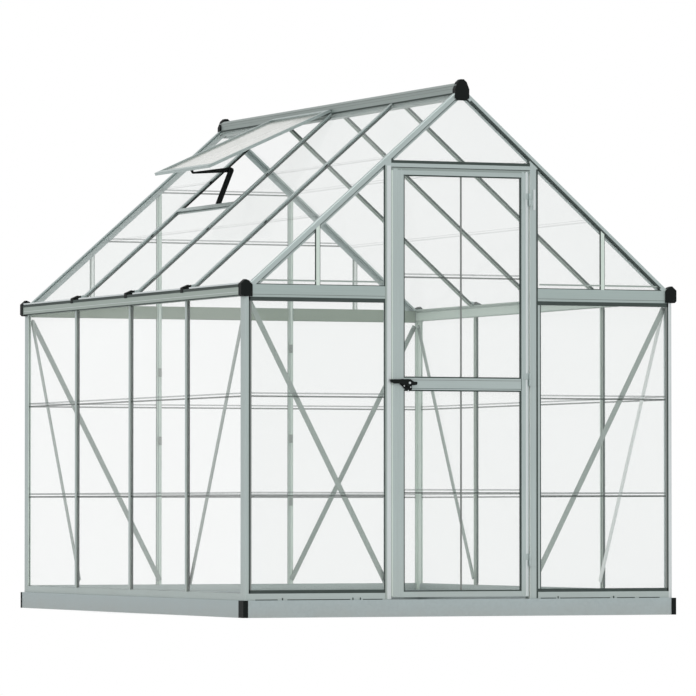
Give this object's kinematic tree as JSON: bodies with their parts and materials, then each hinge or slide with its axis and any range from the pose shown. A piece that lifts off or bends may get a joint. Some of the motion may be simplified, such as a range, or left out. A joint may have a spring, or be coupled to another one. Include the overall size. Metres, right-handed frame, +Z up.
{
  "type": "hobby greenhouse",
  "caption": "Walk-in hobby greenhouse: silver bars on a steel base, clear ribbed sheets, a gable door that swings out and a propped roof vent.",
  "frame": {"origin": "middle of the footprint, on the ground", "axes": "+Z up, +Y from the door gable to the back gable, +X to the right when facing the door"},
  "size_m": [1.848, 2.475, 2.077],
  "materials": {
    "base_steel": "galvanised steel with a thin grey coat, satin",
    "bar_aluminium": "silver anodised aluminium extrusion, fine lengthwise die lines",
    "brace_aluminium": "mill-finish aluminium strip",
    "clear_sheet": "clear sheet with pressed cross ribs",
    "black_plastic": "moulded black plastic",
    "hinge_steel": "plated steel"
  },
  "bodies": {
    "house": {"base_front": "base_steel", "base_back": "base_steel", "base_left": "base_steel", "base_right": "base_steel", "base_corner_covers": "black_plastic", "side_sills": "bar_aluminium", "front_sills": "bar_aluminium", "back_sill": "bar_aluminium", "front_corner_posts": "bar_aluminium", "back_corner_posts": "bar_aluminium", "side_posts": "bar_aluminium", "back_posts": "bar_aluminium", "door_posts": "bar_aluminium", "door_header": "bar_aluminium", "eave_beams": "bar_aluminium", "eave_caps": "black_plastic", "front_ties": "bar_aluminium", "back_ties": "bar_aluminium", "front_rafters": "bar_aluminium", "back_rafters": "bar_aluminium", "roof_bars": "bar_aluminium", "bar_end_caps": "black_plastic", "ridge_beam": "bar_aluminium", "ridge_caps": "black_plastic", "gable_bars": "bar_aluminium", "side_braces": "brace_aluminium", "gable_braces": "brace_aluminium", "glass_left": "clear_sheet", "glass_right": "clear_sheet", "glass_front": "clear_sheet", "glass_back": "clear_sheet", "gable_glass_front": "clear_sheet", "gable_glass_back": "clear_sheet", "roof_glass_left": "clear_sheet", "roof_glass_right": "clear_sheet", "vent_cross_rail": "bar_aluminium", "vent_rails": "bar_aluminium", "vent_stiles": "bar_aluminium", "vent_glass": "clear_sheet", "vent_stay": "black_plastic", "hinge_pins": "hinge_steel"},
    "door": {"door_stiles": "bar_aluminium", "door_rails": "bar_aluminium", "door_glass": "clear_sheet", "hinge_knuckles": "hinge_steel", "latch_plate": "black_plastic"},
    "latch": {"latch_lever": "black_plastic"}
  },
  "joints": [
    {"name": "door_swing", "type": "hinge", "parent": "house", "child": "door", "pos_m": [0.288, -1.23, 0], "axis": [0, 0, 1], "range_deg": [0, 165]},
    {"name": "latch_turn", "type": "hinge", "parent": "door", "child": "latch", "pos_m": [-0.226, -1.2348, 0.899], "axis": [0, 1, 0], "range_deg": [0, 90]}
  ]
}
